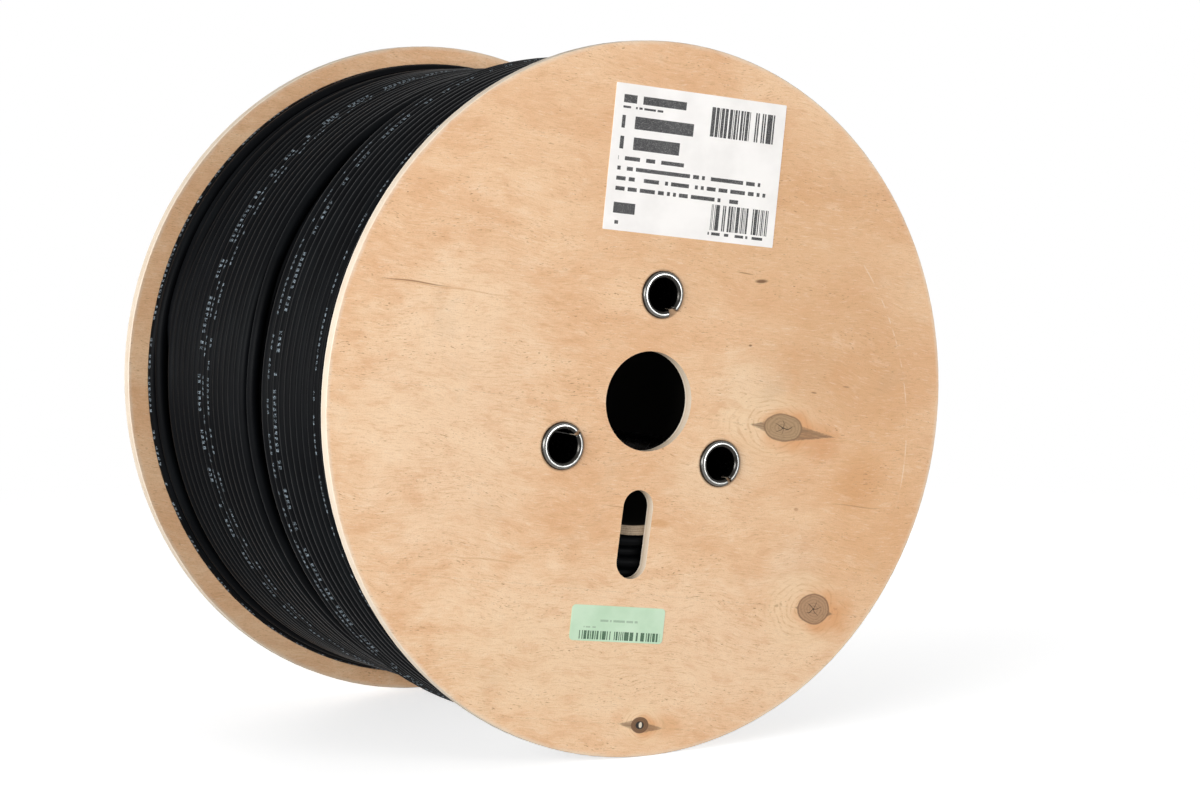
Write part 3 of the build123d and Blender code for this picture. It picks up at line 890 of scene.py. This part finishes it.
def tube_piece(number, degrees, seam_degrees, curl_gap, steel):
    """One tie tube: strip rolled to a tube with an open seam, its ends flared and curled down on the flanges.

    The seam opens to curl_gap at the edge of the front curl, and widens a fifth less at the rear.
    """
    angle = math.radians(degrees)
    x, z = TUBE_PITCH_R * math.cos(angle), TUBE_PITCH_R * math.sin(angle)
    outline = tube_outline()
    count, steps = len(outline), 84
    random.seed(number * 31)
    slow_phase, fast_phase = random.uniform(*PHASES), random.uniform(*PHASES)
    points, faces = [], []
    for step in range(steps + 1):
        for r, y, curled in outline:
            opening = (curl_gap / 2 - SEAM_HALF) * (0.8 if y > 0 else 1.0)
            gap = SEAM_HALF + opening * curled ** 0.7
            start = math.radians(seam_degrees) + gap / r
            a = start + (2 * math.pi - 2 * gap / r) * step / steps
            dent = curled * (0.06 * math.sin(3 * a + slow_phase) + 0.04 * math.sin(7 * a + fast_phase))
            sunk = math.copysign(abs(dent) * 0.5, y)
            points.append((x + (r + dent) * math.cos(a), y - sunk, z + (r + dent) * math.sin(a)))
    for step in range(steps):
        faces += band(step * count, (step + 1) * count, count)
    piece = mesh_object(f"tie_tube_{number}_rolled", points, faces, smooth=True)
    mesh = piece.data
    from_axis = [math.hypot(px - x, pz - z) for px, py, pz in points]
    mesh.attributes.new("from_axis", "FLOAT", "POINT").data.foreach_set("value", from_axis)
    close_ends(mesh, count, steps)
    mesh.materials.append(steel)
    tie(piece, f"tie_tube_{number}")


def close_ends(mesh, count, steps):
    """Closes the strip's two edges, at either side of the seam, with flat faces."""
    work = bmesh.new()
    work.from_mesh(mesh)
    work.verts.ensure_lookup_table()
    for base in (0, steps * count):
        loop = [work.verts[base + i] for i in range(count)]
        face = work.faces.new(loop if base else list(reversed(loop)))
        face.smooth = False
    bmesh.ops.triangulate(work, faces=[f for f in work.faces if len(f.verts) > 4])
    bmesh.ops.recalc_face_normals(work, faces=work.faces)
    work.to_mesh(mesh)
    work.free()


# Stage, in metres, watts and degrees, and the lens in millimetres
FLOOR_HALF = 9.0
FLOOR_Z = -0.2
WHITE = (1.0, 1.0, 1.0, 1.0)
# How bright the floor shows near the drum, and how much of the white backdrop's light falls on the drum
FLOOR_GLOW = 0.58
SKY_LIGHT = 0.15
LAMPS = (
    ("soft_box_left", (-2.2, -1.05, 0.28), (1.75, 1.2), 74.0),
    ("soft_box_front", (0.75, -2.05, 0.26), (1.0, 0.9), 18.5),
    ("soft_box_rear", (1.5, 1.7, -0.02), (1.4, 0.32), 46.0),
    ("soft_box_low_back", (-1.9, 0.3, 0.02), (0.5, 0.4), 5.0),
)
CAMERA_AZIMUTH = -29.67
CAMERA_ELEVATION = 4.79
CAMERA_DISTANCE = 2.02267
# How far the camera aims past the drum's centre
AIM_RIGHT = 1.19
AIM_UP = -0.27
CAMERA_LENS = 102.70


def shows_background(node):
    """1 for rays that see the backdrop: the camera's, and those that metal, gloss and glass send on."""
    path = node("LightPath", out=None)
    return total(node, [path["Is Camera Ray"], path["Is Glossy Ray"], path["Is Transmission Ray"]])


def build_floor():
    """Pale floor that keeps the drum's shadow and fades to the white backdrop further out."""
    half = FLOOR_HALF
    corners = [(-half, -half, FLOOR_Z), (half, -half, FLOOR_Z), (half, half, FLOOR_Z), (-half, half, FLOOR_Z)]
    mesh = bpy.data.meshes.new("studio_floor")
    mesh.from_pydata(corners, [], [(0, 1, 2, 3)])
    floor = bpy.data.objects.new("studio_floor", mesh)
    bpy.context.scene.collection.objects.link(floor)
    made, node, finish = material("matt_white_studio_paper")
    tree = made.node_tree
    place = node("TexCoord", out="Object")
    seen = shows_background(node)
    tint = node("TexNoise", {"Vector": place, "Scale": 3.0, "Detail": 3.0, "Roughness": 0.55})
    away = node(EASE, node("VectorMath.LENGTH", place, out="Value"), 0.4, 1.3)
    white = painted(node, rgb("fafafa"), (tint, "f2f2f2"))
    finish({
        "Base Color": painted(node, rgb("8a8a8a"), (seen, white)),
        "Roughness": 0.9,
        "Specular IOR Level": 0.1,
    })
    own = node("Emission", WHITE, node(MULTIPLY, seen, FLOOR_GLOW))
    near = node("AddShader", tree.nodes["Principled BSDF"].outputs[0], own)
    far = node("Emission", WHITE, 1.0)
    both = node("MixShader", node(MULTIPLY, seen, away), near, far)
    tree.links.new(both, tree.nodes["Material Output"].inputs[0])
    mesh.materials.append(made)


def build_world():
    """The camera, metal and gloss all see a white backdrop; as light on the drum it counts for far less."""
    world = bpy.data.worlds.new("studio")
    bpy.context.scene.world = world
    world.use_nodes = True
    sky = world.node_tree
    node = partial(add, sky)
    strength = node("MapRange.LINEAR", shows_background(node), 0.0, 1.0, SKY_LIGHT, 1.0)
    feed(sky, sky.nodes["Background"], {"Color": WHITE, "Strength": strength})


def build_lamps():
    """Soft lamps at the left, in front, behind on the right and low at the back."""
    for name, place, size, power in LAMPS:
        light = bpy.data.lights.new(name, "AREA")
        light.shape = "RECTANGLE"
        light.size, light.size_y = size
        light.energy = power
        lamp = bpy.data.objects.new(name, light)
        lamp.location = place
        lamp.rotation_euler = (-Vector(place)).to_track_quat("-Z", "Y").to_euler()
        bpy.context.scene.collection.objects.link(lamp)


def build_camera():
    """The photograph's view: to the left of the labelled flange and a little above the drum's centre."""
    az, el = math.radians(CAMERA_AZIMUTH), math.radians(CAMERA_ELEVATION)
    towards = Vector((math.sin(az) * math.cos(el), -math.cos(az) * math.cos(el), math.sin(el)))
    place = CAMERA_DISTANCE * towards
    ahead = -place.normalized()
    right = ahead.cross(Vector((0, 0, 1))).normalized()
    above = right.cross(ahead)
    aside = math.tan(math.radians(AIM_RIGHT)) * right
    view = (ahead + aside + math.tan(math.radians(AIM_UP)) * above).normalized()
    camera = bpy.data.cameras.new("camera")
    camera.sensor_width = 36.0
    camera.lens = CAMERA_LENS
    camera.clip_start, camera.clip_end = 0.05, 50.0
    shot = bpy.data.objects.new("camera", camera)
    shot.location = place
    shot.rotation_euler = view.to_track_quat("-Z", "Y").to_euler()
    bpy.context.scene.collection.objects.link(shot)
    bpy.context.scene.camera = shot
    bpy.context.scene.view_settings.view_transform = "Standard"


looks = build_materials()
for node_name in ("front_flange", "rear_flange", "barrel", "shipping_label", "stock_label"):
    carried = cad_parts[node_name].data.materials
    carried.clear()
    carried.append(looks[node_name])
build_cable(looks["sheath"])
for index, (seam_degrees, curl_gap) in enumerate(TUBE_SEAMS):
    tube_piece(index + 1, TUBE_ANGLES[index] - ROLL_DEGREES, seam_degrees, curl_gap, looks["steel"])
build_floor()
build_world()
build_lamps()
build_camera()
